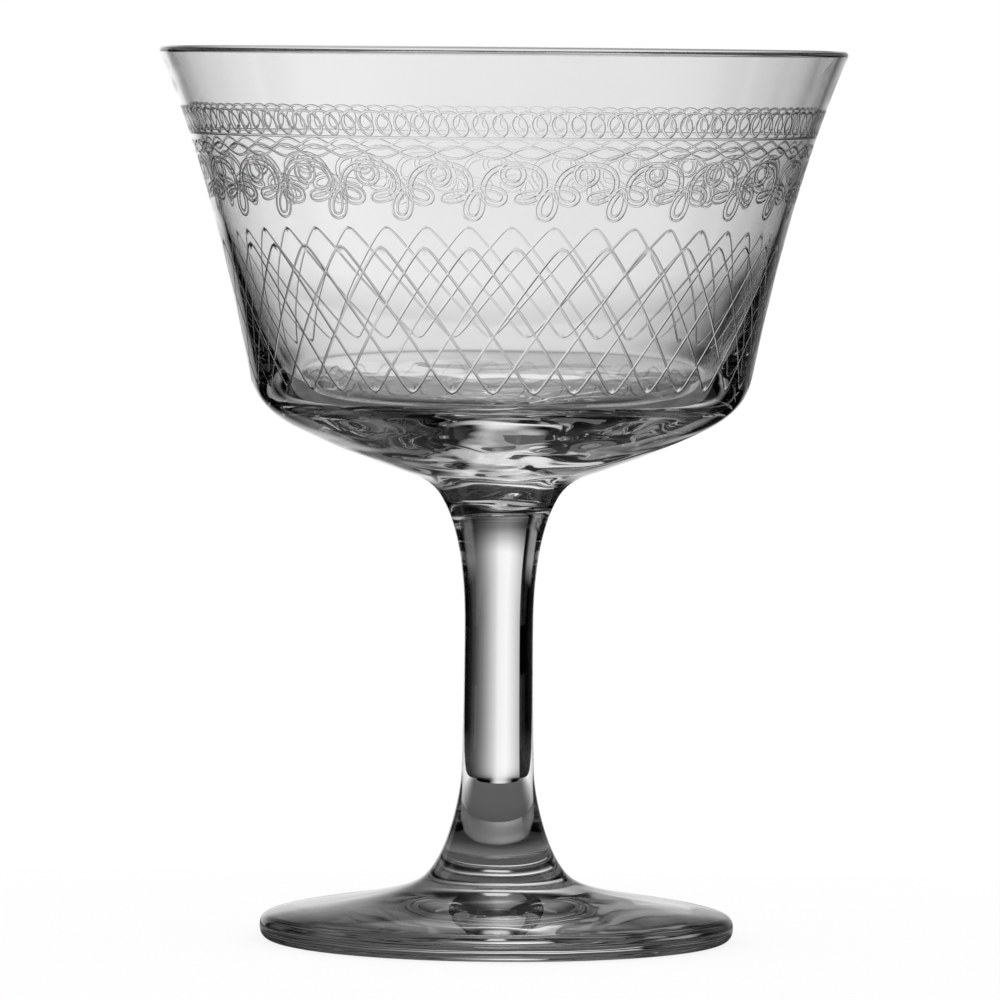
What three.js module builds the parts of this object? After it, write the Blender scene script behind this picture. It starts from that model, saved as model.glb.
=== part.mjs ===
// Stemmed cocktail glass: a flared bowl on a thick solid base, a turned stem and a round foot.
// Millimetres, +Z up. The axis of the glass is Z and the foot stands on z = 0.
// Every piece is turned: half of its section is drawn as x = radius and y = height above its lower joint.
import * as THREE from 'three';

// Heights of the three pieces, stacked from the table to the rim
const FOOT_HEIGHT = 21.8;
const STEM_LENGTH = 38.9;
const BOWL_HEIGHT = 61.3;

// Fused joints: the pieces on both sides share the diameter and the lean of the outline
const FOOT_JOINT_DIAMETER = 10.1;
const FOOT_JOINT_LEAN = 0.112;
const BOWL_JOINT_DIAMETER = 15.9;
const BOWL_JOINT_LEAN = 0.58;

// Bowl, outside: rim, foot of the wall, round shoulder, shallow underside and throat
const RIM_DIAMETER = 94;
const RIM_LEAN = 0.43;
const BODY_DIAMETER = 68.6;
const BODY_RISE = 16.6;
const BODY_LEAN = 0.198;
const WALL_BEND_RISE = 26.7;
const SHOULDER_DIAMETER = 54.7;
const SHOULDER_RISE = 9.15;
const SHOULDER_SLOPE = 0.48;
const SHOULDER_DROP = 3.4;
const SHOULDER_REACH = 4;
const UNDERSIDE_REACH = 6;
const THROAT_DIAMETER = 24;
const THROAT_RISE = 3.15;
const THROAT_SLOPE = 0.35;
const THROAT_REACH = 2.1;
const THROAT_HEIGHT = 1.4;

// Bowl, inside: wall thickness at the rim and low down, round corner and slightly dished floor
const RIM_THICKNESS = 1.1;
const BODY_THICKNESS = 3;
const BASE_THICKNESS = 13.5;
const FLOOR_DIAMETER = 55;
const FLOOR_DISH = 0.4;
const CORNER_RISE = 4.4;
const INNER_LEAN = 0.396;
const INNER_REACH = 13.9;
const INNER_RIM_REACH = 14.1;

// Stem: slim waist between a long flare under the bowl and a short one over the foot
const STEM_DIAMETER = 9.4;
const UPPER_FLARE_LENGTH = 17.7;
const UPPER_FLARE_EASE = 8.5;
const UPPER_FLARE_REACH = 3.5;
const LOWER_FLARE_EASE = 14.2;
const LOWER_FLARE_REACH = 1.8;

// Foot: trumpet under the stem, shallow dome, rounded edge, flat ring that rests on the table
const FOOT_DIAMETER = 64.9;
const TRUMPET_REACH = 2.5;
const TRUMPET_DIAMETER = 19.8;
const TRUMPET_BASE_HEIGHT = 8.8;
const TRUMPET_SLOPE = 0.94;
const TRUMPET_RUN = 3.2;
const DOME_RUN = 3.1;
const DOME_SLOPE = 0.3;
const DOME_EDGE_RUN = 5.7;
const EDGE_HEIGHT = 3.6;
const EDGE_TOP_ROUND = 1.25;
const EDGE_MIDDLE_HEIGHT = 1.9;
const EDGE_LOWER_ROUND = 1.9;
const RESTING_RING_WIDTH = 4.6;
const UNDERSIDE_DISH = 0.8;

// Faces: steps along each curve of an outline and around the axis
const CURVE_STEPS = 5;
const TURN_STEPS = 60;

// Clear colourless glass, fire polished
const GLASS_COLOUR = 0xeef1f1;
const GLASS_ROUGHNESS = 0.03;
const GLASS_OPACITY = 0.35;

const footJointRadius = FOOT_JOINT_DIAMETER / 2;
const bowlJointRadius = BOWL_JOINT_DIAMETER / 2;

function clearGlass() {
  return new THREE.MeshStandardMaterial({
    color: GLASS_COLOUR,
    roughness: GLASS_ROUGHNESS,
    metalness: 0,
    transparent: true,
    opacity: GLASS_OPACITY,
  });
}

// A solid of revolution about Z from half of its section
function turned(name, outline, height) {
  const geometry = new THREE.LatheGeometry(outline.getPoints(CURVE_STEPS), TURN_STEPS);
  geometry.rotateX(Math.PI / 2);
  const mesh = new THREE.Mesh(geometry, clearGlass());
  mesh.name = name;
  mesh.position.z = height;
  return mesh;
}

// Outside of the bowl: out of the throat, round the shoulder and up the flared wall to the rim
function drawBowlOutside(outline, rim) {
  const body = new THREE.Vector2(BODY_DIAMETER / 2, BODY_RISE);
  const shoulder = new THREE.Vector2(SHOULDER_DIAMETER / 2, SHOULDER_RISE);
  const throat = new THREE.Vector2(THROAT_DIAMETER / 2, THROAT_RISE);
  outline.moveTo(0, 0);
  outline.lineTo(bowlJointRadius, 0);
  outline.bezierCurveTo(
    bowlJointRadius + BOWL_JOINT_LEAN * THROAT_HEIGHT, THROAT_HEIGHT,
    throat.x - THROAT_REACH, throat.y - THROAT_SLOPE * THROAT_REACH,
    throat.x, throat.y,
  );
  outline.quadraticCurveTo(
    shoulder.x - UNDERSIDE_REACH, shoulder.y - SHOULDER_SLOPE * UNDERSIDE_REACH,
    shoulder.x, shoulder.y,
  );
  outline.bezierCurveTo(
    shoulder.x + SHOULDER_REACH, shoulder.y + SHOULDER_SLOPE * SHOULDER_REACH,
    body.x - BODY_LEAN * SHOULDER_DROP, body.y - SHOULDER_DROP,
    body.x, body.y,
  );
  const rimTilt = Math.atan(RIM_LEAN);
  outline.quadraticCurveTo(
    body.x + BODY_LEAN * WALL_BEND_RISE, body.y + WALL_BEND_RISE,
    rim.x + (RIM_THICKNESS / 2) * Math.cos(rimTilt), rim.y - (RIM_THICKNESS / 2) * Math.sin(rimTilt),
  );
  outline.absarc(rim.x, rim.y, RIM_THICKNESS / 2, -rimTilt, Math.PI - rimTilt, false);
}

// Inside of the bowl: down the wall, round the corner and across the floor to the axis
function drawBowlInside(outline, rim) {
  const rimTilt = Math.atan(RIM_LEAN);
  const rimInside = new THREE.Vector2(
    rim.x - (RIM_THICKNESS / 2) * Math.cos(rimTilt),
    rim.y + (RIM_THICKNESS / 2) * Math.sin(rimTilt),
  );
  const floor = new THREE.Vector2(FLOOR_DIAMETER / 2, BASE_THICKNESS + FLOOR_DISH);
  const cornerHeight = floor.y + CORNER_RISE;
  const corner = new THREE.Vector2(
    BODY_DIAMETER / 2 + BODY_LEAN * (cornerHeight - BODY_RISE) - BODY_THICKNESS,
    cornerHeight,
  );
  outline.bezierCurveTo(
    rimInside.x - RIM_LEAN * INNER_RIM_REACH, rimInside.y - INNER_RIM_REACH,
    corner.x + INNER_LEAN * INNER_REACH, corner.y + INNER_REACH,
    corner.x, corner.y,
  );
  outline.quadraticCurveTo(
    corner.x - INNER_LEAN * CORNER_RISE, floor.y,
    floor.x, floor.y,
  );
  outline.quadraticCurveTo(
    floor.x / 2, BASE_THICKNESS,
    0, BASE_THICKNESS,
  );
}

function bowl() {
  const outline = new THREE.Path();
  const rim = new THREE.Vector2((RIM_DIAMETER - RIM_THICKNESS) / 2, BOWL_HEIGHT - RIM_THICKNESS / 2);
  drawBowlOutside(outline, rim);
  drawBowlInside(outline, rim);
  return turned('bowl', outline, FOOT_HEIGHT + STEM_LENGTH);
}

function stem() {
  const outline = new THREE.Path();
  const waistHeight = STEM_LENGTH - UPPER_FLARE_LENGTH;
  const waistRadius = STEM_DIAMETER / 2;
  outline.moveTo(0, 0);
  outline.lineTo(footJointRadius, 0);
  outline.bezierCurveTo(
    footJointRadius - FOOT_JOINT_LEAN * LOWER_FLARE_REACH, LOWER_FLARE_REACH,
    waistRadius, LOWER_FLARE_EASE,
    waistRadius, waistHeight,
  );
  outline.bezierCurveTo(
    waistRadius, waistHeight + UPPER_FLARE_EASE,
    bowlJointRadius - BOWL_JOINT_LEAN * UPPER_FLARE_REACH, STEM_LENGTH - UPPER_FLARE_REACH,
    bowlJointRadius, STEM_LENGTH,
  );
  outline.lineTo(0, STEM_LENGTH);
  return turned('stem', outline, FOOT_HEIGHT);
}

function foot() {
  const outline = new THREE.Path();
  const edgeRadius = FOOT_DIAMETER / 2;
  const ringRadius = edgeRadius - EDGE_LOWER_ROUND;
  const domeRadius = edgeRadius - EDGE_TOP_ROUND;
  const trumpetRadius = TRUMPET_DIAMETER / 2;
  outline.moveTo(0, UNDERSIDE_DISH);
  outline.quadraticCurveTo(
    (ringRadius - RESTING_RING_WIDTH) / 2, UNDERSIDE_DISH,
    ringRadius - RESTING_RING_WIDTH, 0,
  );
  outline.lineTo(ringRadius, 0);
  outline.quadraticCurveTo(edgeRadius, 0, edgeRadius, EDGE_MIDDLE_HEIGHT);
  outline.quadraticCurveTo(
    edgeRadius, EDGE_HEIGHT - DOME_SLOPE * EDGE_TOP_ROUND,
    domeRadius, EDGE_HEIGHT,
  );
  outline.bezierCurveTo(
    domeRadius - DOME_EDGE_RUN, EDGE_HEIGHT + DOME_SLOPE * DOME_EDGE_RUN,
    trumpetRadius + DOME_RUN, TRUMPET_BASE_HEIGHT - TRUMPET_SLOPE * DOME_RUN,
    trumpetRadius, TRUMPET_BASE_HEIGHT,
  );
  outline.bezierCurveTo(
    trumpetRadius - TRUMPET_RUN, TRUMPET_BASE_HEIGHT + TRUMPET_SLOPE * TRUMPET_RUN,
    footJointRadius + FOOT_JOINT_LEAN * TRUMPET_REACH, FOOT_HEIGHT - TRUMPET_REACH,
    footJointRadius, FOOT_HEIGHT,
  );
  outline.lineTo(0, FOOT_HEIGHT);
  return turned('foot', outline, 0);
}

const glass = new THREE.Group();
glass.add(bowl(), stem(), foot());

export default glass;
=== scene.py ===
# %% [markdown]
# # A stemmed cocktail glass in clear glass
# The glass is blown and fused from three pieces: a flared bowl, a turned stem and a round foot.
# The measured solids give the sizes and the places. Here each piece gets its smooth surface, the
# bowl gets its needle-etched ornament as real grooves, and a small studio shows it as glass is
# photographed: a bright field behind the glass, and darkness on both sides to draw its edges.

# %% Load the measured solids
import math

import bpy
import numpy as np
from mathutils import Matrix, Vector
from mathutils.geometry import delaunay_2d_cdt


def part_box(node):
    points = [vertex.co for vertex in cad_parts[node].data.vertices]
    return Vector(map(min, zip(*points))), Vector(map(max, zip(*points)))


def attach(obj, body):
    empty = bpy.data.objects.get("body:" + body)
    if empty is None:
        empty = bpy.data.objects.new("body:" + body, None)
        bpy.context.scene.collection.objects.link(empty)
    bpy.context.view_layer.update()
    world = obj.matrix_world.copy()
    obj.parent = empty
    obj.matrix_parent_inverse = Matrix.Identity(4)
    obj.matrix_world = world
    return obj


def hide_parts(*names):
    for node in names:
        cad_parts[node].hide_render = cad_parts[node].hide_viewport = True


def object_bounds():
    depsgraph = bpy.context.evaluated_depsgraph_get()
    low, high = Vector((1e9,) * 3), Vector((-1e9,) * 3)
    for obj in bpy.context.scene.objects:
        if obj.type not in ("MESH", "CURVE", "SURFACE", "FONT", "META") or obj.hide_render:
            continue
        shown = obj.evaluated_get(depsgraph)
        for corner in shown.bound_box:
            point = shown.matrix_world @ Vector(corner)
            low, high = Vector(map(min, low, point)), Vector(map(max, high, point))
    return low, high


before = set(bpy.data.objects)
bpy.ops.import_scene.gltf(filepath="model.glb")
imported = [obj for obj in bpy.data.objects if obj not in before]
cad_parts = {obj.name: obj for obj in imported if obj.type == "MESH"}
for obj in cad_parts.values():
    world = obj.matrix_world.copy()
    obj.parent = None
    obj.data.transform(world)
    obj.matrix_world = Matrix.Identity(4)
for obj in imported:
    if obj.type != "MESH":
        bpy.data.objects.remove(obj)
cad_low, cad_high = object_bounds()
MM = 0.001
print("solids:", sorted(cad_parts), "height in mm:", round(cad_high.z / MM, 2))

# %% [markdown]
# ## The camera
# The photograph was taken with a long lens from just above the rim, so the rim is almost a line
# while the foot is an open ellipse. The camera stands on -Y and looks along +Y. Its distance comes
# from how much rounder the foot looks than the rim, and its lens from the size in the picture.

# %% Camera
IMAGE_WIDTH = 1000
SENSOR = 36.0
CAMERA_DISTANCE = 1300 * MM
CAMERA_ABOVE_RIM = 7.5 * MM
MM_PER_PIXEL = 0.1366
CAMERA_DOWN = math.radians(3.046)
CAMERA_ROLL = math.radians(0.5)

lens_pixels = CAMERA_DISTANCE / MM / MM_PER_PIXEL
camera_data = bpy.data.cameras.new("photo_camera")
camera_data.sensor_width = SENSOR
camera_data.lens = lens_pixels * SENSOR / IMAGE_WIDTH
camera = bpy.data.objects.new("photo_camera", camera_data)
bpy.context.collection.objects.link(camera)
place = Matrix.Translation((0, -CAMERA_DISTANCE, cad_high.z + CAMERA_ABOVE_RIM))
aim = Matrix.Rotation(math.pi / 2 - CAMERA_DOWN, 4, "X")
camera.matrix_world = place @ aim @ Matrix.Rotation(CAMERA_ROLL, 4, "Z")
bpy.context.scene.camera = camera
print("lens in mm:", round(camera_data.lens, 1))

# %% [markdown]
# ## Small tools
# Colours are written as the hex values that a screen shows, and Blender shades in linear light, so
# one function converts them. Another adds a shader node, sets it up and links it in one call. A
# colour ramp also takes its stops there, and before its first stop and after its last it is level.

# %% Colour and node helpers
def linear(hex_colour):
    """sRGB hex to linear light: each channel is undone by the screen's curve."""
    channel = np.array([int(hex_colour[i:i + 2], 16) for i in (1, 3, 5)]) / 255
    light = np.where(channel <= 0.04045, channel / 12.92, ((channel + 0.055) / 1.055) ** 2.4)
    return (*light.tolist(), 1.0)


def add_node(tree, kind, inputs=(), stops=(), **settings):
    """A node with its settings; an input is linked when it is given a socket, and set otherwise. Stops
    are the places and the greys of a colour ramp, in order."""
    node = tree.nodes.new(kind)
    for name, value in settings.items():
        setattr(node, name, value)
    for name, value in dict(inputs).items():
        if isinstance(value, bpy.types.NodeSocket):
            tree.links.new(value, node.inputs[name])
        else:
            node.inputs[name].default_value = value
    for number, (position, grey) in enumerate(stops):
        if number == len(node.color_ramp.elements):
            node.color_ramp.elements.new(1.0)
        node.color_ramp.elements[number].position = position
        node.color_ramp.elements[number].color = (grey, grey, grey, 1)
    return node


def new_material(name):
    """An empty node material and its output node."""
    material = bpy.data.materials.new(name)
    material.use_nodes = True
    material.node_tree.nodes.clear()
    return material, material.node_tree, material.node_tree.nodes.new("ShaderNodeOutputMaterial")


WHITE = linear("#ffffff")
print("half grey on a screen is", round(linear("#808080")[0], 3), "in linear light")

# %% [markdown]
# ## Outlines
# Everything here is round, so a piece is one outline carried round the axis. The outlines are
# Bezier curves that meet with the same direction, because glass shows every kink as a bright line.
# A curve gives its own direction too, and the direction turned by a quarter is the exact normal.

# %% Bezier curves
def bezier(steps, *points):
    """Positions and directions: Bernstein weights times the points, and times their differences."""
    corners = np.array(points, float)
    degree = len(corners) - 1
    t = np.linspace(0, 1, steps + 1)[:, None]

    def weights(n):
        k = np.arange(n + 1)
        choose = np.array([math.comb(n, i) for i in k])
        return choose * t ** k * (1 - t) ** (n - k)

    return weights(degree) @ corners, degree * weights(degree - 1) @ np.diff(corners, axis=0)


def arc(steps, centre, radius, start, end):
    """Positions and directions round a circle from one angle to another."""
    a = np.linspace(start, end, steps + 1)[:, None]
    spin = np.sign(end - start)
    place = np.array(centre) + radius * np.hstack([np.cos(a), np.sin(a)])
    return place, spin * radius * np.hstack([-np.sin(a), np.cos(a)])


def join(*curves):
    """One outline from curves that follow each other; a shared end is kept once."""
    places = [curves[0][0]] + [place[1:] for place, _ in curves[1:]]
    headings = [curves[0][1]] + [heading[1:] for _, heading in curves[1:]]
    return np.vstack(places), np.vstack(headings)


print("top of a test arch:", bezier(2, (0, 0), (1, 1), (2, 0))[0][1])

# %% [markdown]
# ## Sizes in millimetres
# The heights, the joints and the outer diameters are read from the solids. The other values are the
# shape of the outline between them: points that it passes, how it leans there, and how far a curve
# reaches along that lean before it bends away.

# %% Sizes of the bowl
bowl_low, bowl_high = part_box("bowl")
JOINT_Z = bowl_low.z / MM
JOINT = np.array((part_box("stem")[1].x / MM, JOINT_Z))
JOINT_LEAN = np.array((0.58, 1.0))
JOINT_REACH = 1.4
THROAT = np.array((12.0, JOINT_Z + 3.15))
THROAT_SLOPE = np.array((1.0, 0.35))
THROAT_REACH = 2.1
SHOULDER = np.array((27.35, JOINT_Z + 9.15))
SHOULDER_SLOPE = np.array((1.0, 0.48))
UNDERSIDE_REACH = 6.0
SHOULDER_REACH = 4.0
SHOULDER_DROP = 3.4
BODY = np.array((34.3, JOINT_Z + 16.6))
BODY_LEAN = np.array((0.198, 1.0))
BODY_REACH = 26.7
RIM_Z = bowl_high.z / MM
RIM_R = bowl_high.x / MM
RIM_THICKNESS = 1.1
RIM_SLOPE = np.array((0.43, 1.0))
RIM_LEAN = math.atan(RIM_SLOPE[0])
RIM_REACH = 14.1
WALL_LOW = 3.0
INNER_LEAN = np.array((0.396, 1.0))
INNER_REACH = 13.9
CORNER_RISE = 4.4
BOWL_FLOOR = np.array((27.5, JOINT_Z + 13.9))
BOWL_FLOOR_Z = JOINT_Z + 13.5
print("bowl from", round(JOINT_Z, 2), "to", round(RIM_Z, 2), "mm, rim radius", round(RIM_R, 2))

# %% Outline of the bowl
THROAT_STEPS, UNDERSIDE_STEPS, SHOULDER_STEPS, WALL_STEPS = 12, 20, 300, 1200
RIM_STEPS, INNER_STEPS, CORNER_STEPS, BOWL_FLOOR_STEPS = 14, 36, 16, 14
rim_centre = np.array((RIM_R - RIM_THICKNESS / 2, RIM_Z - RIM_THICKNESS / 2))
rim_out = rim_centre + RIM_THICKNESS / 2 * np.array((math.cos(RIM_LEAN), -math.sin(RIM_LEAN)))
rim_in = 2 * rim_centre - rim_out
corner_z = BOWL_FLOOR[1] + CORNER_RISE
corner = BODY + BODY_LEAN * (corner_z - BODY[1]) - np.array((WALL_LOW, 0))
throat_curve = bezier(
    THROAT_STEPS, JOINT, JOINT + JOINT_LEAN * JOINT_REACH, THROAT - THROAT_SLOPE * THROAT_REACH, THROAT
)
underside_curve = bezier(
    UNDERSIDE_STEPS, THROAT, SHOULDER - SHOULDER_SLOPE * UNDERSIDE_REACH, SHOULDER
)
shoulder_curve = bezier(
    SHOULDER_STEPS,
    SHOULDER, SHOULDER + SHOULDER_SLOPE * SHOULDER_REACH, BODY - BODY_LEAN * SHOULDER_DROP, BODY,
)
wall_curve = bezier(WALL_STEPS, BODY, BODY + BODY_LEAN * BODY_REACH, rim_out)
rim_curve = arc(RIM_STEPS, rim_centre, RIM_THICKNESS / 2, -RIM_LEAN, math.pi - RIM_LEAN)
inner_curve = bezier(
    INNER_STEPS, rim_in, rim_in - RIM_SLOPE * RIM_REACH, corner + INNER_LEAN * INNER_REACH, corner
)
corner_curve = bezier(
    CORNER_STEPS, corner, (corner[0] - INNER_LEAN[0] * CORNER_RISE, BOWL_FLOOR[1]), BOWL_FLOOR
)
floor_curve = bezier(BOWL_FLOOR_STEPS, BOWL_FLOOR, (BOWL_FLOOR[0] / 2, BOWL_FLOOR_Z), (0, BOWL_FLOOR_Z))
print("glass under the floor:", round(BOWL_FLOOR_Z - JOINT_Z, 2), "mm thick")

# %% [markdown]
# ## The outer wall as a flat sheet
# A needle-etched glass was drawn by a machine while the bowl turned, so the ornament is a drawing on
# the unrolled wall: the angle runs along it and the length of the outline runs up it. The length is
# measured from the foot of the wall, and a look-up along it gives radius, height and normal.

# %% Unrolled wall
outer_place, outer_heading = join(shoulder_curve, wall_curve)
step_length = np.hypot(*np.diff(outer_place, axis=0).T)
outer_length = np.concatenate([[0], np.cumsum(step_length)])
outer_length -= outer_length[SHOULDER_STEPS]


def wall_at(length):
    """Place and heading on the outer wall, looked up by the length of outline above its foot."""
    columns = [outer_place[:, 0], outer_place[:, 1], outer_heading[:, 0], outer_heading[:, 1]]
    found = [np.interp(length, outer_length, column) for column in columns]
    return np.stack(found[:2], -1), np.stack(found[2:], -1)


print("wall is", round(outer_length[-1], 2), "mm long along the outline")

# %% [markdown]
# ## The etched lines
# The ornament repeats thirteen times round the bowl. Each repeat holds eight rings, four eyes of a
# braid, two lace motifs and three points of a lattice, so one repeat is drawn and copied. Lines are
# arrays of angle and length. Rings are a trochoid, the path of a point on an arm that turns as it
# travels; the braid is two waves in opposite step; the lattice is one wide rounded zigzag that goes
# five times round the bowl; the lace is a chain of arches, leaves and petals, drawn with two needles.

# %% One repeat
REPEATS = 13
REPEAT_ANGLE = 2 * math.pi / REPEATS
RINGS, EYES, LACES, POINTS = 8, 4, 2, 3


def along(samples):
    """Evenly spaced angles across one repeat and a third of a repeat beyond, for lines that run on."""
    margin = samples // 3
    return np.arange(-margin, samples + margin + 1) / samples * REPEAT_ANGLE


print("one repeat turns", round(math.degrees(REPEAT_ANGLE), 2), "degrees")

# %% Rings, plain line and braid
RING_RADIUS = 43.6
RING_STEPS = 20
RING_MARGIN = 3
LINE_STEPS, BRAID_STEPS = 16, 32


def ring_chain(middle=36.15, rise=1.68, arm=1.62, bulge=0.1, slant=0.2, phase=math.radians(-0.7)):
    """Trochoid: the arm turns once per ring while its hub moves one ring width, so loops hang down. A
    second turn at twice the speed makes the loops broad at the top, and the slant leans them over."""
    ring = REPEAT_ANGLE / RINGS
    steps = (RINGS + 2 * RING_MARGIN) * RING_STEPS
    t = 2 * math.pi * np.linspace(-RING_MARGIN, RINGS + RING_MARGIN, steps + 1)
    swing = arm * np.sin(t) + bulge * np.sin(2 * t) - slant * rise * np.cos(t)
    angle = phase + ring * (t / (2 * math.pi) - 0.5) + swing / RING_RADIUS
    return np.stack([angle, middle + rise * np.cos(t)], -1)


def plain_line(level=34.15):
    """A level line round the bowl."""
    angle = along(LINE_STEPS)
    return np.stack([angle, np.full_like(angle, level)], -1)


def braid(side, middle=32.12, swing=0.83, phase=math.radians(1.6)):
    """One strand of the braid: a sine wave that crosses its partner once per eye."""
    angle = along(BRAID_STEPS)
    wave = np.sin(math.pi * (angle - phase) / (REPEAT_ANGLE / EYES))
    return np.stack([angle, middle + side * swing * wave], -1)


etched_lines = [ring_chain(), plain_line(), braid(1), braid(-1)]
print("points in the chain of rings:", len(etched_lines[0]))

# %% Lace
LACE_NODE = 26.9
LACE_RADIUS = 40.5
LACE_STEPS = 9
LACE_MARGIN = 2
LACE_GAP = 0.66


def lace_motif():
    """One motif on the unrolled wall in millimetres from its node: an arch up to a round eye, once round
    the eye, an arch down to a leaf, a drop-shaped petal and a second leaf, each a smooth curve."""
    curves = [
        bezier(LACE_STEPS, (0.87, -0.12), (0.87, 2.1), (2.57, 3.6), (4.85, 3.6)),
        arc(2 * LACE_STEPS, (4.85, 2.24), 1.36, math.pi / 2, -3 * math.pi / 2),
        bezier(LACE_STEPS, (4.85, 3.6), (7.8, 3.6), (9.2, 2.7), (9.03, 0.47)),
        bezier(LACE_STEPS, (9.03, 0.47), (8.86, -1.4), (5.4, -1.9), (5.44, -1.04)),
        bezier(LACE_STEPS, (5.44, -1.04), (5.46, -0.47), (8.2, -0.28), (9.79, 0)),
        bezier(LACE_STEPS, (9.79, 0), (10.94, 0.2), (10.94, -3.83), (9.35, -3.83)),
        bezier(LACE_STEPS, (9.35, -3.83), (7.76, -3.83), (8.22, -1.42), (9.79, 0)),
        bezier(LACE_STEPS, (9.79, 0), (10.7, 0.82), (13.6, 0.19), (13.6, -0.83)),
        bezier(LACE_STEPS, (13.6, -0.83), (13.6, -2.25), (10.66, -2.13), (10.66, -0.12)),
    ]
    return join(*curves)[0][:-1]


def lace(phase=math.radians(-5.09)):
    """The lace band: the same motif again and again, each one starting where the last one ends."""
    motif = REPEAT_ANGLE / LACES
    starts = np.arange(-LACE_MARGIN, LACES + LACE_MARGIN)[:, None] * np.array([[motif, 0.0]])
    local = lace_motif() / np.array([LACE_RADIUS, 1.0]) + np.array([phase, LACE_NODE])
    return (starts[:, None, :] + local[None]).reshape(-1, 2)


def beside(line, distance):
    """The line moved sideways on the wall by a real distance, square to its heading."""
    radius = wall_at(line[:, 1])[0][:, 0]
    run = np.gradient(line[:, 0]) * radius
    rise = np.gradient(line[:, 1])
    speed = np.hypot(run, rise)
    return line + distance * np.stack([-rise / speed / radius, run / speed], -1)


lace_line = lace()
etched_lines += [beside(lace_line, side * LACE_GAP / 2) for side in (1, -1)]
print("points in one lace motif:", len(lace_motif()))

# %% Lattice
LATTICE_RUNS = 5
LATTICE_STEPS = 30


def lattice(number, low=-1.1, high=18.9, roundness=0.99, phase=math.radians(2.8)):
    """One run of the zigzag: a rounded triangle wave, five points long, moved on by whole points."""
    point = REPEAT_ANGLE / POINTS
    angle = along(LATTICE_STEPS)
    t = 2 * math.pi * (angle - phase - number * point) / (LATTICE_RUNS * point) + math.pi / 2
    wave = np.arcsin(roundness * np.sin(t)) / math.asin(roundness)
    return np.stack([angle, low + (high - low) * (1 + wave) / 2], -1)


etched_lines += [lattice(number) for number in range(LATTICE_RUNS)]
print("etched lines in one repeat:", len(etched_lines))

# %% [markdown]
# ## Grooves in one repeat
# A bump map could draw the lines, but it would be lost in the mesh, and glass shows a groove by the
# way its slopes bend the light. So the grooves are cut into the mesh. Both edges of each groove and
# its steepest places are fixed lines in a Delaunay triangulation of the unrolled repeat, and a loose
# grid of points between them keeps the wall round.

# %% Distance to the etched lines
CHUNK = 400
line_start = np.vstack([line[:-1] for line in etched_lines])
line_step = np.vstack([np.diff(line, axis=0) for line in etched_lines])


def nearest_line(points):
    """From the nearest etched line to each point, in millimetres along and up the wall: each point is
    dropped square onto every straight piece of line, and the shortest drop is kept."""

    def drop(part):
        scale = np.stack([wall_at(part[:, 1])[0][:, 0], np.ones(len(part))], -1)[:, None]
        gap = (part[:, None] - line_start) * scale
        step = line_step * scale
        share = np.clip((gap * step).sum(-1) / (step * step).sum(-1), 0, 1)
        rest = gap - share[..., None] * step
        best = (rest ** 2).sum(-1).argmin(1)
        return rest[np.arange(len(part)), best]

    return np.vstack([drop(part) for part in np.array_split(points, len(points) // CHUNK + 1)])


print("straight pieces of etched line:", len(line_start))

# %% Triangulate the unrolled repeat
GROOVE_HALF = 0.2
SLOPE_TOP, SLOPE_END = 0.78, 0.93
CLEAR_OF_GROOVE = 1.5
COLUMNS, ROWS = 16, 29
BAND_LOW, BAND_HIGH = -3.0, 40.0
UNROLL_RADIUS = 40.0
PAD_ANGLE = math.radians(1.5)
MERGE = 1e-5


def groove_tracks():
    """Edges and steepest places of each groove: the line moved sideways to each of them."""
    points, edges, count = [], [], 0
    for line in etched_lines:
        for share in (-1, -SLOPE_TOP, SLOPE_TOP, 1):
            track = beside(line, share * GROOVE_HALF)
            near = (track[:, 0] > -PAD_ANGLE) & (track[:, 0] < REPEAT_ANGLE + PAD_ANGLE)
            number = count + np.cumsum(near) - 1
            joined = near[:-1] & near[1:]
            points.append(track[near])
            edges.append(np.stack([number[:-1][joined], number[1:][joined]], -1))
            count += int(near.sum())
    return np.vstack(points), np.vstack(edges)


def loose_grid():
    """A grid of points over the repeat, left out near the grooves, and the edges of its border."""
    angle, length = np.meshgrid(
        np.linspace(0, REPEAT_ANGLE, COLUMNS + 1), np.linspace(BAND_LOW, BAND_HIGH, ROWS + 1)
    )
    points = np.stack([angle.ravel(), length.ravel()], -1)
    clear = np.hypot(*nearest_line(points).T) > CLEAR_OF_GROOVE * GROOVE_HALF
    number = np.where(clear, np.cumsum(clear) - 1, -1).reshape(angle.shape)
    sides = [number[0], number[-1], number[:, 0], number[:, -1]]
    kept = [side[side >= 0] for side in sides]
    return points[clear], np.vstack([np.stack([side[:-1], side[1:]], -1) for side in kept])


def triangulate():
    """Delaunay triangles of tracks and grid in the unrolled plane, cut to one repeat, all facing out."""
    tracks, track_edges = groove_tracks()
    grid, border_edges = loose_grid()
    flat = np.vstack([tracks, grid]) * (UNROLL_RADIUS, 1)
    edges = np.vstack([track_edges, border_edges + len(tracks)])
    found = delaunay_2d_cdt(flat.tolist(), edges.tolist(), [], 0, MERGE, False)
    points = np.array(found[0]) / (UNROLL_RADIUS, 1)
    faces = np.array(found[2])
    middle = points[faces].mean(1)
    inside = (middle[:, 0] > 0) & (middle[:, 0] < REPEAT_ANGLE)
    inside &= (middle[:, 1] > BAND_LOW) & (middle[:, 1] < BAND_HIGH)
    used, faces = np.unique(faces[inside], return_inverse=True)
    points, faces = points[used], faces.reshape(-1, 3)
    a, b, c = (points[faces[:, i]] for i in range(3))
    turn = (b - a)[:, 0] * (c - a)[:, 1] - (b - a)[:, 1] * (c - a)[:, 0]
    faces[turn < 0] = faces[turn < 0][:, ::-1]
    return points, faces


repeat_points, repeat_faces = triangulate()
print("one repeat:", len(repeat_points), "points,", len(repeat_faces), "triangles")

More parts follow.
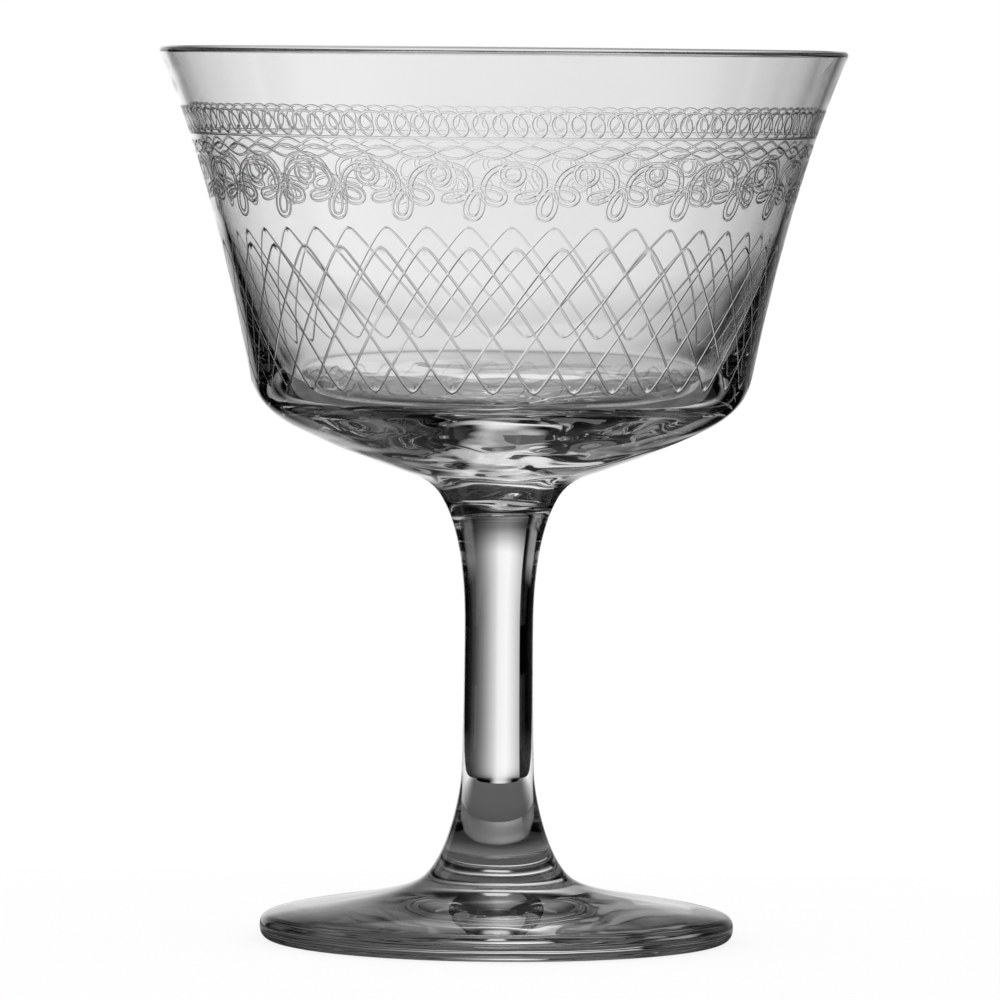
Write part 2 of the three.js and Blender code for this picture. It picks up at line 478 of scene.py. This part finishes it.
# %% [markdown]
# ## From the flat repeat to the round band
# The right side of one repeat is the left side of the next, so those points are shared. Each point
# is then put on the wall and pushed in by the depth of its groove. Its normal is worked out too:
# it leans towards the middle of the groove on the slopes, and is the wall's own normal elsewhere.
# The lean is made stronger towards the sides and weaker at the back, as the lines look in the
# photograph; whether the real grooves differ so is not known.

# %% Shared sides of a repeat
TOUCH = 2e-6
NEAR = 5e-4


def share_sides(points, faces):
    """Numbers the points of a repeat so that its right side has the left side's numbers, one repeat on.
    Side points that are closer together than NEAR count as one, and triangles that vanish are dropped."""
    left = np.flatnonzero(np.abs(points[:, 0]) < TOUCH)
    right = np.flatnonzero(np.abs(points[:, 0] - REPEAT_ANGLE) < TOUCH)
    side = np.concatenate([left, right])
    order = np.argsort(points[side, 1])
    level = np.empty(len(side), int)
    level[order] = np.concatenate([[0], np.cumsum(np.diff(points[side[order], 1]) > NEAR)])
    left_level, right_level = level[:len(left)], level[len(left):]
    keeper = np.zeros(level.max() + 1, int)
    keeper[left_level] = left
    own = np.ones(len(points), bool)
    own[side] = False
    own[keeper] = True
    number = np.cumsum(own) - 1
    number[left] = number[keeper[left_level]]
    number[right] = number[keeper[right_level]] + own.sum()
    faces = number[faces]
    whole = (faces != np.roll(faces, 1, 1)).all(1)
    print("levels on both sides match:", np.array_equal(np.unique(left_level), np.unique(right_level)))
    return points[own], faces[whole]


own_points, own_faces = share_sides(repeat_points, repeat_faces)

# %% Depth and lean in one repeat
GROOVE_DEPTH = 0.03
ETCHED_WITHIN = 0.9
LATTICE_TILT, FINE_TILT = 0.6, 0.5
LATTICE_TOP = 20.0

away = nearest_line(own_points)
distance = np.hypot(*away.T)
share = distance / GROOVE_HALF
fall = np.clip((SLOPE_END - share) / (SLOPE_END - SLOPE_TOP), 0, 1)
tilt = np.where(own_points[:, 1] < LATTICE_TOP, LATTICE_TILT, FINE_TILT)
lean = np.minimum(share / SLOPE_TOP, fall) * tilt
depth = fall * GROOVE_DEPTH
away_unit = away / np.maximum(distance, MERGE)[:, None]
etched = np.concatenate([share, share])[own_faces].min(1) < ETCHED_WITHIN
print("deepest groove:", round(depth.max(), 3), "mm, steepest lean:", round(lean.max(), 3))

# %% Etched band
BACK_BITE, SIDE_BITE = 0.7, 1.3
LEVEL_TOUCH = 1e-4


def on_wall(points):
    """Wall point, normal, sideways and upward directions: x = r sin a, y = -r cos a, z from the outline."""
    place, heading = wall_at(points[:, 1])
    up = heading / np.hypot(*heading.T)[:, None]
    sin, cos, zero = np.sin(points[:, 0]), np.cos(points[:, 0]), np.zeros(len(points))
    spot = np.stack([place[:, 0] * sin, -place[:, 0] * cos, place[:, 1]], -1)
    normal = np.stack([up[:, 1] * sin, -up[:, 1] * cos, -up[:, 0]], -1)
    sideways = np.stack([cos, sin, zero], -1)
    upward = np.stack([up[:, 0] * sin, -up[:, 0] * cos, up[:, 1]], -1)
    return spot, normal, sideways, upward


def border_ring(level):
    """Numbers of the band's points at one level, in order round the bowl."""
    row = np.flatnonzero(np.abs(own_points[:, 1] - level) < LEVEL_TOUCH)
    row = row[np.argsort(own_points[row, 0])]
    return (np.arange(REPEATS)[:, None] * len(own_points) + row).ravel()


turn_on = np.repeat(np.arange(REPEATS), len(own_points)) * REPEAT_ANGLE
band_flat = np.tile(own_points, (REPEATS, 1)) + np.stack([turn_on, np.zeros_like(turn_on)], -1)
spot, normal, sideways, upward = on_wall(band_flat)
across, upwards = np.tile(away_unit, (REPEATS, 1)).T[:, :, None]
slope = across * sideways + upwards * upward
bite = (1 + BACK_BITE) / 2 + (1 - BACK_BITE) / 2 * np.cos(band_flat[:, 0])
bite += SIDE_BITE * np.sin(band_flat[:, 0]) ** 2
band_spots = spot - np.tile(depth, REPEATS)[:, None] * normal
band_normals = normal - (bite * np.tile(lean, REPEATS))[:, None] * slope
first_point = np.arange(REPEATS)[:, None, None] * len(own_points)
band_faces = ((own_faces[None] + first_point) % len(band_spots)).reshape(-1, 3)
band_etched = np.tile(etched, REPEATS)
print("etched band:", len(band_faces), "triangles,", int(band_etched.sum()), "of them in grooves")

# %% [markdown]
# ## Glass materials
# Clear soda-lime or crystal glass bends light by about a third (IOR 1.52) and hides nothing, so all
# its looks come from its shape. Blown glass is never quite even: slow waves about a centimetre long
# are left in the skin and make the light swim. Here they are strong under the thick base, faint on
# the foot and almost nothing on the wall and the stem, so they are a bump that a ramp by height
# weakens. In the grooves acid has eaten the skin, so they are a little rough. Where two pieces were
# melted together no surface is left, and the two faces there are drawn as nothing at all.

# %% Fire-polished glass
GLASS_IOR = 1.52
WAVE_MM = 13.0
WAVE_SQUEEZE = (1.0, 1.0, 3.0)
WAVE_HEIGHT_MM = 0.8
WAVE_BY_HEIGHT = [
    (12, 0.06), (20, 0.005), (58, 0.005), (62.5, 1.0), (67.5, 1.0), (70.5, 0.08), (72, 0.02), (84, 0.01),
]


def polished_glass():
    """Blown, fire-polished clear glass: full transmission, no roughness, slow waves in the skin."""
    material, tree, output = new_material("clear_glass_fire_polished")
    where = add_node(tree, "ShaderNodeTexCoord").outputs["Object"]
    squeezed = add_node(tree, "ShaderNodeVectorMath", {0: where, 1: WAVE_SQUEEZE}, operation="MULTIPLY")
    wave = add_node(tree, "ShaderNodeTexNoise", {
        "Vector": squeezed.outputs["Vector"], "Scale": 1 / (WAVE_MM * MM), "Detail": 1.0,
    }, normalize=False)
    axes = add_node(tree, "ShaderNodeSeparateXYZ", {"Vector": where})
    rise = add_node(tree, "ShaderNodeMath", {0: axes.outputs["Z"], 1: RIM_Z * MM}, operation="DIVIDE")
    share = add_node(tree, "ShaderNodeValToRGB", {"Fac": rise.outputs["Value"]},
                     [(z / RIM_Z, strength) for z, strength in WAVE_BY_HEIGHT])
    swell = add_node(tree, "ShaderNodeMath", {
        0: wave.outputs["Fac"], 1: share.outputs["Color"],
    }, operation="MULTIPLY")
    bump = add_node(tree, "ShaderNodeBump", {
        "Height": swell.outputs["Value"], "Distance": WAVE_HEIGHT_MM * MM, "Strength": 1.0,
    })
    glass = add_node(tree, "ShaderNodeBsdfPrincipled", {
        "Base Color": WHITE,
        "Roughness": 0.0,
        "IOR": GLASS_IOR,
        "Transmission Weight": 1.0,
        "Normal": bump.outputs["Normal"],
    })
    tree.links.new(glass.outputs["BSDF"], output.inputs["Surface"])
    return material


glass_finishes = [polished_glass()]
print("waves in the skin:", WAVE_MM, "mm long")

# %% Etched glass and melted joint
ETCH_GRAIN_MM = 0.15
ETCH_SMOOTHEST, ETCH_ROUGHEST = 0.09, 0.21


def etched_glass():
    """Needle-etched glass: the acid leaves a fine grain, drawn as uneven roughness."""
    material, tree, output = new_material("clear_glass_needle_etched")
    where = add_node(tree, "ShaderNodeTexCoord").outputs["Object"]
    grain = add_node(tree, "ShaderNodeTexNoise", {"Vector": where, "Scale": 1 / (ETCH_GRAIN_MM * MM)})
    rough = add_node(tree, "ShaderNodeMapRange", {
        "Value": grain.outputs["Fac"], "To Min": ETCH_SMOOTHEST, "To Max": ETCH_ROUGHEST,
    })
    glass = add_node(tree, "ShaderNodeBsdfPrincipled", {
        "Base Color": WHITE,
        "Roughness": rough.outputs["Result"],
        "IOR": GLASS_IOR,
        "Transmission Weight": 1.0,
    })
    tree.links.new(glass.outputs["BSDF"], output.inputs["Surface"])
    return material


def fused_joint():
    """Melted joint: glass meets glass and nothing shows."""
    material, tree, output = new_material("clear_glass_fused_joint")
    nothing = add_node(tree, "ShaderNodeBsdfTransparent")
    tree.links.new(nothing.outputs["BSDF"], output.inputs["Surface"])
    return material


POLISHED, ETCHED, FUSED = 0, 1, 2
glass_finishes += [etched_glass(), fused_joint()]
print("finishes:", [material.name for material in glass_finishes])

# %% [markdown]
# ## Turned surfaces
# A grid of rings carries an outline round the axis. The rings close on themselves, and a fan of
# triangles closes each end on the axis, so every piece is a watertight solid.

# %% Turned grids
def turned(outline, columns):
    """Points x = r sin a, y = -r cos a, z; normals are the outline's heading turned a quarter outwards."""
    place, heading = outline
    out = heading / np.hypot(*heading.T)[:, None]
    angle = 2 * math.pi * np.arange(columns) / columns
    ring = np.stack([np.sin(angle), -np.cos(angle), np.zeros(columns)], -1)
    upright = np.array([0.0, 0.0, 1.0])
    spots = place[:, :1, None] * ring + place[:, 1:, None] * upright
    normals = out[:, 1:, None] * ring - out[:, :1, None] * upright
    return spots.reshape(-1, 3), normals.reshape(-1, 3)


def strips(rings):
    """Two triangles for each cell between rings of point numbers."""
    low, high = rings[:-1], rings[1:]
    low_next, high_next = np.roll(low, -1, 1), np.roll(high, -1, 1)
    halves = [np.stack([low, low_next, high_next], -1), np.stack([low, high_next, high], -1)]
    return np.concatenate(halves).reshape(-1, 3)


def fan(ring, pole, ends):
    """Triangles from a ring to a point on the axis; ends says if the point follows the ring."""
    after = np.roll(ring, -1)
    middle = np.full_like(ring, pole)
    return np.stack([ring, after, middle] if ends else [middle, after, ring], -1)


print("triangles between two rings of four points:", len(strips(np.arange(8).reshape(2, 4))))

# %% Glass pieces
def glass_piece(name, node, spots, normals, faces, finishes):
    """A mesh of glass in place of one solid, with worked-out normals and a finish for each triangle."""
    mesh = bpy.data.meshes.new(name)
    mesh.from_pydata((spots * MM).tolist(), [], faces.tolist(), shade_flat=False)
    for material in glass_finishes:
        mesh.materials.append(material)
    mesh.polygons.foreach_set("material_index", finishes)
    mesh.normals_split_custom_set_from_vertices(normals.tolist())
    piece = bpy.data.objects.new(name, mesh)
    bpy.context.collection.objects.link(piece)
    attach(piece, "root")
    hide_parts(node)
    print(name, "has", len(faces), "triangles")


# %% [markdown]
# ## The bowl
# Below the band the outline runs down round the shoulder and along the underside to the joint with
# the stem. Above it, it goes over the rim, down the inside and across the floor.

# %% Bowl
SHOULDER_RINGS = 12
UPPER_RINGS = 8
shoulder_lengths = np.linspace(outer_length[0], BAND_LOW, SHOULDER_RINGS)
upper_lengths = np.linspace(BAND_HIGH, outer_length[-1], UPPER_RINGS)
lower_place, lower_heading = join(throat_curve, underside_curve, wall_at(shoulder_lengths))
upper_place, upper_heading = join(
    wall_at(upper_lengths), rim_curve, inner_curve, corner_curve, floor_curve
)
columns = REPEATS * COLUMNS
lower_spots, lower_normals = turned((lower_place[:-1], lower_heading[:-1]), columns)
upper_spots, upper_normals = turned((upper_place[1:-1], upper_heading[1:-1]), columns)
poles = np.array([(0, 0, JOINT_Z), (0, 0, BOWL_FLOOR_Z)])
pole_normals = np.array([(0, 0, -1), (0, 0, 1)])
bowl_spots = np.vstack([band_spots, lower_spots, upper_spots, poles])
bowl_normals = np.vstack([band_normals, lower_normals, upper_normals, pole_normals])
first_lower = len(band_spots)
first_upper = first_lower + len(lower_spots)
first_pole = first_upper + len(upper_spots)
lower_rings = np.arange(first_lower, first_upper).reshape(-1, columns)
upper_rings = np.arange(first_upper, first_pole).reshape(-1, columns)
plain_faces = np.vstack([
    strips(np.vstack([lower_rings, border_ring(BAND_LOW)])),
    strips(np.vstack([border_ring(BAND_HIGH), upper_rings])),
    fan(upper_rings[-1], first_pole + 1, True),
])
joint_faces = fan(lower_rings[0], first_pole, False)
bowl_finishes = np.concatenate([
    np.where(band_etched, ETCHED, POLISHED),
    np.full(len(plain_faces), POLISHED),
    np.full(len(joint_faces), FUSED),
])
glass_piece(
    "etched_bowl", "bowl", bowl_spots, bowl_normals,
    np.vstack([band_faces, plain_faces, joint_faces]), bowl_finishes,
)

# %% [markdown]
# ## Stem and foot
# Both are plain turned pieces. The stem is slim in the middle and flares to the bowl. The foot
# rises from a rounded edge over a shallow dome to the stem, and is a little hollow underneath so
# that it stands on a ring.

# %% Outline of the stem
STEM_R = 4.7
WAIST_Z = JOINT_Z - 17.7
UPPER_FLARE_EASE = 8.5
UPPER_FLARE_REACH = 3.5
LOWER_FLARE_EASE = 14.2
LOWER_FLARE_REACH = 1.8
LOWER_STEPS, UPPER_STEPS = 30, 40
foot_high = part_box("foot")[1]
FOOT_JOINT = np.array((5.05, foot_high.z / MM))
FOOT_JOINT_LEAN = np.array((-0.112, 1.0))

stem_outline = join(
    bezier(LOWER_STEPS, FOOT_JOINT, FOOT_JOINT + FOOT_JOINT_LEAN * LOWER_FLARE_REACH,
           (STEM_R, FOOT_JOINT[1] + LOWER_FLARE_EASE), (STEM_R, WAIST_Z)),
    bezier(UPPER_STEPS, (STEM_R, WAIST_Z), (STEM_R, WAIST_Z + UPPER_FLARE_EASE),
           JOINT - JOINT_LEAN * UPPER_FLARE_REACH, JOINT),
)
print("stem from", round(FOOT_JOINT[1], 2), "to", round(JOINT_Z, 2), "mm, waist at", round(WAIST_Z, 2))

# %% Outline of the foot
FOOT_R = foot_high.x / MM
DISH_Z = 0.8
RING_WIDTH = 4.6
EDGE_Z = 1.9
EDGE_LOWER_ROUND, EDGE_UPPER_ROUND = 1.9, 1.25
RING_R = FOOT_R - EDGE_LOWER_ROUND
DISH_R = RING_R - RING_WIDTH
DOME = np.array((FOOT_R - EDGE_UPPER_ROUND, 3.6))
DOME_SLOPE = np.array((-1.0, 0.3))
DOME_REACH = 5.7
TRUMPET = np.array((9.9, 8.8))
TRUMPET_SLOPE = np.array((-1.0, 0.94))
TRUMPET_LOWER_REACH, TRUMPET_UPPER_REACH = 3.1, 3.2
TRUMPET_END_REACH = 2.5
DISH_STEPS, RING_FLAT_STEPS, EDGE_LOWER_STEPS = 16, 3, 14
EDGE_UPPER_STEPS, DOME_STEPS, TRUMPET_STEPS = 12, 40, 30

dish_curve = bezier(DISH_STEPS, (0, DISH_Z), (DISH_R / 2, DISH_Z), (DISH_R, 0))
foot_outline = join(
    tuple(array[1:] for array in dish_curve),
    bezier(RING_FLAT_STEPS, (DISH_R, 0), (RING_R, 0)),
    bezier(EDGE_LOWER_STEPS, (RING_R, 0), (FOOT_R, 0), (FOOT_R, EDGE_Z)),
    bezier(EDGE_UPPER_STEPS, (FOOT_R, EDGE_Z),
           (FOOT_R, DOME[1] - DOME_SLOPE[1] * EDGE_UPPER_ROUND), DOME),
    bezier(DOME_STEPS, DOME, DOME + DOME_SLOPE * DOME_REACH,
           TRUMPET - TRUMPET_SLOPE * TRUMPET_LOWER_REACH, TRUMPET),
    bezier(TRUMPET_STEPS, TRUMPET, TRUMPET + TRUMPET_SLOPE * TRUMPET_UPPER_REACH,
           FOOT_JOINT - FOOT_JOINT_LEAN * TRUMPET_END_REACH, FOOT_JOINT),
)
print("foot radius", round(FOOT_R, 2), "mm, on a ring from", round(DISH_R, 2), "to", round(RING_R, 2))

# %% Stem and foot
STEM_COLUMNS, FOOT_COLUMNS = 160, 208


def turned_piece(name, node, outline, columns, low, high, low_finish):
    """A turned outline closed on the axis at two heights; the upper end is always a fused joint."""
    spots, normals = turned(outline, columns)
    rings = np.arange(len(spots)).reshape(-1, columns)
    skin = strips(rings)
    bottom = fan(rings[0], len(spots), False)
    top = fan(rings[-1], len(spots) + 1, True)
    faces = np.vstack([skin, bottom, top])
    kinds = np.repeat([POLISHED, low_finish, FUSED], [len(skin), len(bottom), len(top)])
    spots = np.vstack([spots, [(0, 0, low), (0, 0, high)]])
    normals = np.vstack([normals, [(0, 0, -1), (0, 0, 1)]])
    glass_piece(name, node, spots, normals, faces, kinds)


turned_piece("turned_stem", "stem", stem_outline, STEM_COLUMNS, FOOT_JOINT[1], JOINT_Z, FUSED)
turned_piece("round_foot", "foot", foot_outline, FOOT_COLUMNS, DISH_Z, FOOT_JOINT[1], POLISHED)

# %% [markdown]
# ## The floor
# The glass stands on a sheet of white paper. In the picture the paper is plain white and keeps the
# soft shadow near the glass. The glass shows another side of it: a studio table lies in stripes of
# light and shade, and the foot mirrors and bends them. Cards and flags could cast them, but painted
# shade and painted light on the paper, from front to back, are steadier. A Light Path node tells the
# camera's own view from the glass's. A view straight through the glass finds white paper again where
# it comes down steeply or passes beside the foot, so that bowl and stem read as clear from other sides
# too. The foot looks down onto the painted shade on the paper under it, so it stays dark from behind.

# %% Floor
FLOOR_HALF_WIDTH = 0.6
FLOOR_FRONT, FLOOR_BACK = -0.6, 0.1
FLOOR_GAP = 0.05 * MM
FLOOR_COLUMNS, FLOOR_ROWS = 12, 9


def studio_floor():
    """A flat rectangular table top: a grid of points in x and y."""
    x, y = np.meshgrid(
        np.linspace(-FLOOR_HALF_WIDTH, FLOOR_HALF_WIDTH, FLOOR_COLUMNS + 1),
        np.linspace(FLOOR_FRONT, FLOOR_BACK, FLOOR_ROWS + 1),
    )
    spots = np.stack([x.ravel(), y.ravel(), np.full(x.size, -FLOOR_GAP)], -1)
    number = np.arange(x.size).reshape(x.shape)
    corners = [number[:-1, :-1], number[:-1, 1:], number[1:, 1:], number[1:, :-1]]
    mesh = bpy.data.meshes.new("studio_floor")
    mesh.from_pydata(spots.tolist(), [], np.stack(corners, -1).reshape(-1, 4).tolist())
    return bpy.data.objects.new("studio_floor", mesh)


floor = studio_floor()
bpy.context.collection.objects.link(floor)
print("floor:", 2 * FLOOR_HALF_WIDTH, "m wide, its back edge", FLOOR_BACK, "m behind the glass")

# %% Paper on the floor
# Painted shade and painted light on the paper, by depth from front to back and seen only by the glass: dark
# in front, a light stripe, painted shade under the foot, a lighter stripe, then painted shade behind.
PAINTED_SHADE_BY_DEPTH = [
    (-0.18, 0.01), (-0.12, 0.5), (-0.06, 0.5), (-0.03, 0.08), (0.004, 0.08), (0.012, 0.38),
    (0.024, 0.36), (0.034, 0.1), (0.05, 0.12), (0.1, 0.127),
]
WHITE_NEAR = 0.8
FADE_START, FADE_END = 0.06, 0.3
ASIDE_SLOPE, ASIDE_FADE = 0.5, 0.04
STEEP_START, STEEP_END = 0.009, 0.014


def table_paper():
    """Matt white paper. For the camera it is white, mixed with its own shadow near the glass. For the glass
    it has painted shade and light by depth, but it is white for a view that never was mirrored and either
    ends beside the foot or is longer than its end's distance from the axis, and so comes down steeply."""
    material, tree, output = new_material("matt_white_paper_painted_shade")
    where = add_node(tree, "ShaderNodeTexCoord").outputs["Object"]
    paths = add_node(tree, "ShaderNodeLightPath").outputs
    axes = add_node(tree, "ShaderNodeSeparateXYZ", {"Vector": where}).outputs
    far = add_node(tree, "ShaderNodeVectorMath", {0: where}, operation="LENGTH").outputs["Value"]
    along_floor = add_node(tree, "ShaderNodeMapRange", {
        "Value": axes["Y"], "From Min": FLOOR_FRONT, "From Max": FLOOR_BACK,
    })
    # Painted shade: the paper's grey by depth, which stands in for the studio's stripes of light and shade.
    painted_shade = add_node(tree, "ShaderNodeValToRGB", {"Fac": along_floor.outputs["Result"]},
                     [((y - FLOOR_FRONT) / (FLOOR_BACK - FLOOR_FRONT), grey) for y, grey in PAINTED_SHADE_BY_DEPTH])
    aside = add_node(tree, "ShaderNodeMath", {0: axes["X"]}, operation="ABSOLUTE")
    sideways = add_node(tree, "ShaderNodeMath", {
        0: axes["Y"], 1: -ASIDE_SLOPE, 2: aside.outputs["Value"],
    }, operation="MULTIPLY_ADD")
    beside_glass = add_node(tree, "ShaderNodeMapRange", {
        "Value": sideways.outputs["Value"], "From Max": ASIDE_FADE,
    }, interpolation_type="SMOOTHSTEP")
    drop = add_node(tree, "ShaderNodeMath", {0: paths["Ray Length"], 1: far}, operation="SUBTRACT")
    steep = add_node(tree, "ShaderNodeMapRange", {
        "Value": drop.outputs["Value"], "From Min": STEEP_START, "From Max": STEEP_END,
    })
    through = add_node(tree, "ShaderNodeMath", {
        0: steep.outputs["Result"], 1: beside_glass.outputs["Result"],
    }, operation="MAXIMUM")
    unmirrored = add_node(tree, "ShaderNodeMath", {
        0: through.outputs["Value"], 1: paths["Glossy Depth"],
    }, operation="SUBTRACT", use_clamp=True)
    plain = add_node(tree, "ShaderNodeMath", {
        0: unmirrored.outputs["Value"], 1: paths["Is Camera Ray"],
    }, operation="MAXIMUM")
    colour = add_node(tree, "ShaderNodeMix", {
        "Factor": plain.outputs["Value"], "A": painted_shade.outputs["Color"], "B": WHITE,
    }, data_type="RGBA")
    fade = add_node(tree, "ShaderNodeMapRange", {
        "Value": far, "From Min": FADE_START, "From Max": FADE_END, "To Min": WHITE_NEAR, "To Max": 1.0,
    }, interpolation_type="SMOOTHSTEP")
    share = add_node(tree, "ShaderNodeMath", {
        0: fade.outputs["Result"], 1: paths["Is Camera Ray"],
    }, operation="MULTIPLY")
    matt = add_node(tree, "ShaderNodeBsdfDiffuse", {"Color": colour.outputs["Result"]})
    white = add_node(tree, "ShaderNodeEmission", {"Color": WHITE, "Strength": 1.0})
    mix = add_node(tree, "ShaderNodeMixShader", {
        0: share.outputs["Value"], 1: matt.outputs["BSDF"], 2: white.outputs["Emission"],
    })
    tree.links.new(mix.outputs["Shader"], output.inputs["Surface"])
    return material


floor.data.materials.append(table_paper())
print("paper:", floor.data.materials[0].name)

# %% [markdown]
# ## The studio
# Glass is lit by what stands around it. Panels and cards could be modelled, but a world whose
# brightness depends on the direction is quicker to shape. Six patches of light are added up in a
# dark studio, and the dark between them draws the edges of the glass. Each patch is a ramp of
# azimuth, which is 0 straight behind the glass and positive to the right, times a ramp of height
# above the horizon, both in degrees. A view straight through the glass that misses the backdrop
# finds a pale room. The picture's own background and the light on the floor are an even white,
# which a Light Path node keeps apart from what the glass sees.

# %% Patches of light
BACKDROP = [
    (-180, 0.01), (-110, 0.006), (-75, 0.004), (-49, 0.004), (-47, 0.0), (-27.5, 0.0), (-27, 0.55),
    (-24, 0.6), (-18, 0.78), (-9, 1.02), (0, 0.94), (2, 0.84), (4, 0.72), (6.5, 0.62), (9, 0.54),
    (14, 0.36), (20, 0.21), (27, 0.11), (34, 0.05), (44, 0.01), (60, 0.0), (80, 0.0), (110, 0.004),
    (180, 0.01),
]
BACKDROP_HEIGHT = [
    (-10.5, 0.0), (-7, 1.0), (8, 1.0), (12, 0.6), (16, 0.3), (20, 0.1), (24, 0.04), (46, 0.04),
    (52, 0.35), (60, 0.25), (72, 0.1), (90, 0.05),
]
BELOW_TABLE_EDGE = [
    (-75, 0.03), (-55, 0.0), (-17, 0.0), (-12, 0.3), (-8, 0.7), (-4, 0.85), (1, 0.85), (4, 0.5),
    (6.5, 0.15), (9, 0.0), (55, 0.0), (75, 0.03),
]
BELOW_TABLE_EDGE_HEIGHT = [(-27, 0.0), (-19, 0.9), (-11, 1.0), (-7, 0.0)]
STUDIO_GROUND = [
    (-24, 0.0), (-20, 0.5), (-14, 0.5), (-8, 0.35), (0, 0.35), (8, 0.7), (20, 0.75), (24, 0.0),
]
STUDIO_GROUND_HEIGHT = [(-27, 1.0), (-20, 0.0)]
SIDE_STRIPS = [
    (-54, 0.0), (-49, 0.35), (-37, 0.25), (-32, 0.0), (26, 0.0), (31, 0.12), (44, 0.12), (50, 0.0),
]
SIDE_STRIPS_HEIGHT = [(3, 0.0), (8, 1.0), (22, 1.0), (27, 0.0)]
HIGH_STRIPS = [
    (-78, 0.0), (-72, 0.45), (-52, 0.45), (-44, 0.0), (44, 0.0), (52, 0.45), (72, 0.45), (78, 0.0),
]
HIGH_STRIPS_HEIGHT = [(31, 0.0), (35, 1.0), (44, 1.0), (48, 0.0)]
LAMP = [(-6, 0.0), (-4, 0.7), (4, 0.7), (6, 0.0)]
LAMP_HEIGHT = [(22, 0.0), (25, 1.0), (34, 1.0), (38, 0.0)]
PATCHES = [
    (BACKDROP, BACKDROP_HEIGHT),
    (BELOW_TABLE_EDGE, BELOW_TABLE_EDGE_HEIGHT),
    (STUDIO_GROUND, STUDIO_GROUND_HEIGHT),
    (SIDE_STRIPS, SIDE_STRIPS_HEIGHT),
    (HIGH_STRIPS, HIGH_STRIPS_HEIGHT),
    (LAMP, LAMP_HEIGHT),
]
print("patches of light:", len(PATCHES))

# %% Studio
ROOM = 0.85
ROOM_SIDE = [(-30, 1.0), (-24, 0.0), (24, 0.0), (30, 1.0)]
ROOM_BACK = [(-85, 1.0), (-75, 0.0), (75, 0.0), (85, 1.0)]
ROOM_LOW = [(-14, 1.0), (-10, 0.0)]
ROOM_BELOW = [(-52, 1.0), (-46, 0.0)]


def studio_world():
    """Brightness by direction: the sum of patches, each a ramp of azimuth times a ramp of height. The
    pale room lies wide of the backdrop, more so above the table, and straight below."""
    world = bpy.data.worlds.new("studio")
    world.use_nodes = True
    world.cycles.sampling_method = "NONE"
    tree = world.node_tree
    tree.nodes.clear()
    towards = add_node(tree, "ShaderNodeTexCoord").outputs["Generated"]
    axes = add_node(tree, "ShaderNodeSeparateXYZ", {"Vector": towards}).outputs
    azimuth = add_node(tree, "ShaderNodeMath", {0: axes["X"], 1: axes["Y"]}, operation="ARCTAN2")
    turn = add_node(tree, "ShaderNodeMath", {
        0: azimuth.outputs["Value"], 1: 0.5 / math.pi, 2: 0.5,
    }, operation="MULTIPLY_ADD")
    height = add_node(tree, "ShaderNodeMath", {0: axes["Z"]}, operation="ARCSINE")
    level = add_node(tree, "ShaderNodeMath", {
        0: height.outputs["Value"], 1: 1 / math.pi, 2: 0.5,
    }, operation="MULTIPLY_ADD")

    def by_azimuth(stops):
        shares = [(degrees / 360 + 0.5, value) for degrees, value in stops]
        return add_node(tree, "ShaderNodeValToRGB", {"Fac": turn.outputs["Value"]}, shares).outputs["Color"]

    def by_height(stops):
        shares = [(degrees / 180 + 0.5, value) for degrees, value in stops]
        return add_node(tree, "ShaderNodeValToRGB", {"Fac": level.outputs["Value"]}, shares).outputs["Color"]

    light = 0.0
    for across, upright in PATCHES:
        patch = add_node(tree, "ShaderNodeMath", {
            0: by_azimuth(across), 1: by_height(upright), 2: light,
        }, operation="MULTIPLY_ADD")
        light = patch.outputs["Value"]
    side = add_node(tree, "ShaderNodeMix", {
        "Factor": by_height(ROOM_LOW), "A": by_azimuth(ROOM_BACK), "B": by_azimuth(ROOM_SIDE),
    })
    room = add_node(tree, "ShaderNodeMath", {
        0: side.outputs["Result"], 1: by_height(ROOM_BELOW),
    }, operation="MAXIMUM")
    paths = add_node(tree, "ShaderNodeLightPath").outputs
    unmirrored = add_node(tree, "ShaderNodeMath", {
        0: room.outputs["Value"], 1: paths["Glossy Depth"],
    }, operation="SUBTRACT", use_clamp=True)
    pale = add_node(tree, "ShaderNodeMath", {
        0: unmirrored.outputs["Value"], 1: ROOM,
    }, operation="MULTIPLY")
    seen = add_node(tree, "ShaderNodeMath", {0: light, 1: pale.outputs["Value"]}, operation="MAXIMUM")
    even = add_node(tree, "ShaderNodeMath", {
        0: paths["Is Camera Ray"], 1: paths["Diffuse Depth"],
    }, operation="ADD", use_clamp=True)
    shown = add_node(tree, "ShaderNodeMix", {
        "Factor": even.outputs["Value"], "A": seen.outputs["Value"], "B": 1.0,
    })
    background = add_node(tree, "ShaderNodeBackground", {
        "Color": shown.outputs["Result"], "Strength": 1.0,
    })
    output = add_node(tree, "ShaderNodeOutputWorld")
    tree.links.new(background.outputs["Background"], output.inputs["Surface"])
    return world


scene = bpy.context.scene
scene.world = studio_world()
scene.view_settings.view_transform = "Standard"
print("world:", scene.world.name)

# %% [markdown]
# ## Light through many surfaces
# A view through both walls and the base crosses a dozen surfaces or more, and each crossing is one
# bounce. The usual limit would end such paths in black, so glass gets more bounces.

# %% Bounces
THROUGH_BOUNCES = 32
MIRROR_BOUNCES = 16
scene.cycles.max_bounces = THROUGH_BOUNCES
scene.cycles.transmission_bounces = THROUGH_BOUNCES
scene.cycles.glossy_bounces = MIRROR_BOUNCES
scene.cycles.transparent_max_bounces = MIRROR_BOUNCES
print("bounces through glass:", scene.cycles.transmission_bounces)
